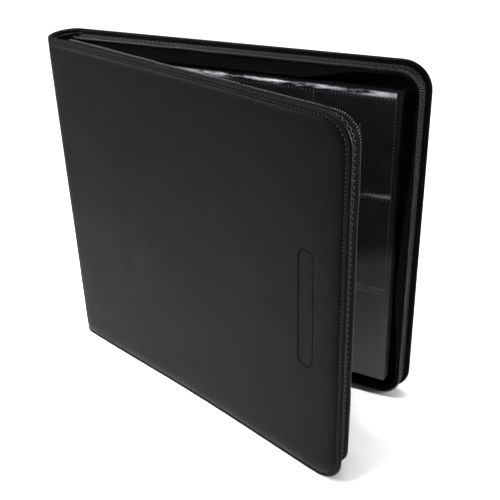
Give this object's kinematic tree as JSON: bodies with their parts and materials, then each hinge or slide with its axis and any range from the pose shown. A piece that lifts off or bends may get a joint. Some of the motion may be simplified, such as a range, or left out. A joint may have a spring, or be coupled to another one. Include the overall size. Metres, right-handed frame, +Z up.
{
  "type": "trading card binder",
  "caption": "Padded zip-round album for trading cards: two hinged covers on a rounded spine, pocket leaves that fan between them, and an edge zip with a slider.",
  "frame": {"origin": "on the ground, in the middle of the album's footprint, as it stands open in a V", "axes": "+Z up along the spine, +X from the spine to the fore-edges, +Y towards the back cover"},
  "size_m": [0.3552, 0.1528, 0.338],
  "materials": {
    "leatherette": "satin grain",
    "foam": "matt",
    "board": "matt",
    "lining_cloth": "matt",
    "zip_tape_cloth": "woven",
    "coil_nylon": "semi-matt",
    "guard_cloth": "woven",
    "zip_metal": "black nickel",
    "leaf_film": "clear film over black",
    "tab_film": "matt"
  },
  "bodies": {
    "spine": {"spine_skin": "leatherette", "spine_foam": "foam", "spine_board": "board", "spine_lining": "lining_cloth", "page_binding": "tab_film"},
    "front_cover": {"front_cover_skin": "leatherette", "front_cover_foam": "foam", "front_cover_board": "board", "front_cover_lining": "lining_cloth", "front_zip_tape": "zip_tape_cloth", "front_zip_coil": "coil_nylon"},
    "back_cover": {"back_cover_skin": "leatherette", "back_cover_foam": "foam", "back_cover_board": "board", "back_cover_lining": "lining_cloth", "back_zip_tape": "zip_tape_cloth", "back_zip_coil": "coil_nylon", "back_zip_guard": "guard_cloth", "zip_top_stop": "zip_metal", "zip_bottom_stop": "zip_metal"},
    "zip_slider": {"zip_slider": "zip_metal", "zip_pull_pin": "zip_metal"},
    "zip_pull": {"zip_pull": "zip_metal"},
    "front_leaf_01": {"front_leaf_01": "leaf_film"},
    "front_leaf_02": {"front_leaf_02": "leaf_film"},
    "front_leaf_03": {"front_leaf_03": "leaf_film"},
    "front_leaf_04": {"front_leaf_04": "leaf_film"},
    "front_leaf_05": {"front_leaf_05": "leaf_film"},
    "front_leaf_06": {"front_leaf_06": "leaf_film"},
    "front_leaf_07": {"front_leaf_07": "leaf_film"},
    "front_leaf_08": {"front_leaf_08": "leaf_film"},
    "front_leaf_09": {"front_leaf_09": "leaf_film"},
    "front_leaf_10": {"front_leaf_10": "leaf_film"},
    "front_leaf_11": {"front_leaf_11": "leaf_film"},
    "front_leaf_12": {"front_leaf_12": "leaf_film"},
    "front_leaf_13": {"front_leaf_13": "leaf_film"},
    "front_leaf_14": {"front_leaf_14": "leaf_film"},
    "front_leaf_15": {"front_leaf_15": "leaf_film"},
    "front_leaf_16": {"front_leaf_16": "leaf_film"},
    "back_leaf_01": {"back_leaf_01": "leaf_film"},
    "back_leaf_02": {"back_leaf_02": "leaf_film"},
    "back_leaf_03": {"back_leaf_03": "leaf_film"},
    "back_leaf_04": {"back_leaf_04": "leaf_film"}
  },
  "joints": [
    {"name": "front_cover_hinge", "type": "hinge", "parent": "spine", "child": "front_cover", "pos_m": [-0.16858, -0.019, 0.169], "axis": [0, 0, -1], "range_deg": [-9, 81]},
    {"name": "back_cover_hinge", "type": "hinge", "parent": "spine", "child": "back_cover", "pos_m": [-0.16858, 0.019, 0.169], "axis": [0, 0, 1], "range_deg": [-9, 81]},
    {"name": "front_leaf_01_flex", "type": "hinge", "parent": "spine", "child": "front_leaf_01", "pos_m": [-0.16258, 0.00797, 0.169], "axis": [0, 0, -1], "range_deg": [-6.5, 58.34]},
    {"name": "front_leaf_02_flex", "type": "hinge", "parent": "spine", "child": "front_leaf_02", "pos_m": [-0.16258, 0.00653, 0.169], "axis": [0, 0, -1], "range_deg": [-6.55, 58.77]},
    {"name": "front_leaf_03_flex", "type": "hinge", "parent": "spine", "child": "front_leaf_03", "pos_m": [-0.16258, 0.00507, 0.169], "axis": [0, 0, -1], "range_deg": [-6.6, 59.2]},
    {"name": "front_leaf_04_flex", "type": "hinge", "parent": "spine", "child": "front_leaf_04", "pos_m": [-0.16258, 0.00363, 0.169], "axis": [0, 0, -1], "range_deg": [-6.64, 59.64]},
    {"name": "front_leaf_05_flex", "type": "hinge", "parent": "spine", "child": "front_leaf_05", "pos_m": [-0.16258, 0.00217, 0.169], "axis": [0, 0, -1], "range_deg": [-6.69, 60.07]},
    {"name": "front_leaf_06_flex", "type": "hinge", "parent": "spine", "child": "front_leaf_06", "pos_m": [-0.16258, 0.00072, 0.169], "axis": [0, 0, -1], "range_deg": [-6.74, 60.5]},
    {"name": "front_leaf_07_flex", "type": "hinge", "parent": "spine", "child": "front_leaf_07", "pos_m": [-0.16258, -0.00072, 0.169], "axis": [0, 0, -1], "range_deg": [-6.79, 60.93]},
    {"name": "front_leaf_08_flex", "type": "hinge", "parent": "spine", "child": "front_leaf_08", "pos_m": [-0.16258, -0.00217, 0.169], "axis": [0, 0, -1], "range_deg": [-6.84, 61.36]},
    {"name": "front_leaf_09_flex", "type": "hinge", "parent": "spine", "child": "front_leaf_09", "pos_m": [-0.16258, -0.00363, 0.169], "axis": [0, 0, -1], "range_deg": [-6.88, 61.8]},
    {"name": "front_leaf_10_flex", "type": "hinge", "parent": "spine", "child": "front_leaf_10", "pos_m": [-0.16258, -0.00507, 0.169], "axis": [0, 0, -1], "range_deg": [-6.93, 62.23]},
    {"name": "front_leaf_11_flex", "type": "hinge", "parent": "spine", "child": "front_leaf_11", "pos_m": [-0.16258, -0.00653, 0.169], "axis": [0, 0, -1], "range_deg": [-6.98, 62.66]},
    {"name": "front_leaf_12_flex", "type": "hinge", "parent": "spine", "child": "front_leaf_12", "pos_m": [-0.16258, -0.00797, 0.169], "axis": [0, 0, -1], "range_deg": [-7.03, 63.09]},
    {"name": "front_leaf_13_flex", "type": "hinge", "parent": "spine", "child": "front_leaf_13", "pos_m": [-0.16258, -0.00942, 0.169], "axis": [0, 0, -1], "range_deg": [-7.08, 63.52]},
    {"name": "front_leaf_14_flex", "type": "hinge", "parent": "spine", "child": "front_leaf_14", "pos_m": [-0.16258, -0.01087, 0.169], "axis": [0, 0, -1], "range_deg": [-7.12, 63.96]},
    {"name": "front_leaf_15_flex", "type": "hinge", "parent": "spine", "child": "front_leaf_15", "pos_m": [-0.16258, -0.01232, 0.169], "axis": [0, 0, -1], "range_deg": [-7.17, 64.39]},
    {"name": "front_leaf_16_flex", "type": "hinge", "parent": "spine", "child": "front_leaf_16", "pos_m": [-0.16258, -0.01378, 0.169], "axis": [0, 0, -1], "range_deg": [-7.22, 64.82]},
    {"name": "back_leaf_01_flex", "type": "hinge", "parent": "spine", "child": "back_leaf_01", "pos_m": [-0.16258, 0.00942, 0.169], "axis": [0, 0, 1], "range_deg": [-7.22, 64.82]},
    {"name": "back_leaf_02_flex", "type": "hinge", "parent": "spine", "child": "back_leaf_02", "pos_m": [-0.16258, 0.01087, 0.169], "axis": [0, 0, 1], "range_deg": [-7.49, 67.25]},
    {"name": "back_leaf_03_flex", "type": "hinge", "parent": "spine", "child": "back_leaf_03", "pos_m": [-0.16258, 0.01232, 0.169], "axis": [0, 0, 1], "range_deg": [-7.76, 69.68]},
    {"name": "back_leaf_04_flex", "type": "hinge", "parent": "spine", "child": "back_leaf_04", "pos_m": [-0.16258, 0.01378, 0.169], "axis": [0, 0, 1], "range_deg": [-8.03, 72.11]},
    {"name": "zip_slide", "type": "slide", "parent": "back_cover", "child": "zip_slider", "axis": [0.9877, 0.1564, 0], "range_m": [0, 0.28]},
    {"name": "zip_pull_hinge", "type": "hinge", "parent": "zip_slider", "child": "zip_pull", "pos_m": [-0.13943, 0.00438, 0.0022], "axis": [-0.1564, 0.9877, 0], "range_deg": [0, 175]}
  ],
  "couplings": [
    {"joint": "front_leaf_01_flex", "follows": "front_cover_hinge", "ratio": 0.72},
    {"joint": "front_leaf_02_flex", "follows": "front_cover_hinge", "ratio": 0.72533},
    {"joint": "front_leaf_03_flex", "follows": "front_cover_hinge", "ratio": 0.73067},
    {"joint": "front_leaf_04_flex", "follows": "front_cover_hinge", "ratio": 0.736},
    {"joint": "front_leaf_05_flex", "follows": "front_cover_hinge", "ratio": 0.74133},
    {"joint": "front_leaf_06_flex", "follows": "front_cover_hinge", "ratio": 0.74667},
    {"joint": "front_leaf_07_flex", "follows": "front_cover_hinge", "ratio": 0.752},
    {"joint": "front_leaf_08_flex", "follows": "front_cover_hinge", "ratio": 0.75733},
    {"joint": "front_leaf_09_flex", "follows": "front_cover_hinge", "ratio": 0.76267},
    {"joint": "front_leaf_10_flex", "follows": "front_cover_hinge", "ratio": 0.768},
    {"joint": "front_leaf_11_flex", "follows": "front_cover_hinge", "ratio": 0.77333},
    {"joint": "front_leaf_12_flex", "follows": "front_cover_hinge", "ratio": 0.77867},
    {"joint": "front_leaf_13_flex", "follows": "front_cover_hinge", "ratio": 0.784},
    {"joint": "front_leaf_14_flex", "follows": "front_cover_hinge", "ratio": 0.78933},
    {"joint": "front_leaf_15_flex", "follows": "front_cover_hinge", "ratio": 0.79467},
    {"joint": "front_leaf_16_flex", "follows": "front_cover_hinge", "ratio": 0.8},
    {"joint": "back_leaf_01_flex", "follows": "back_cover_hinge", "ratio": 0.8},
    {"joint": "back_leaf_02_flex", "follows": "back_cover_hinge", "ratio": 0.83},
    {"joint": "back_leaf_03_flex", "follows": "back_cover_hinge", "ratio": 0.86},
    {"joint": "back_leaf_04_flex", "follows": "back_cover_hinge", "ratio": 0.89}
  ]
}
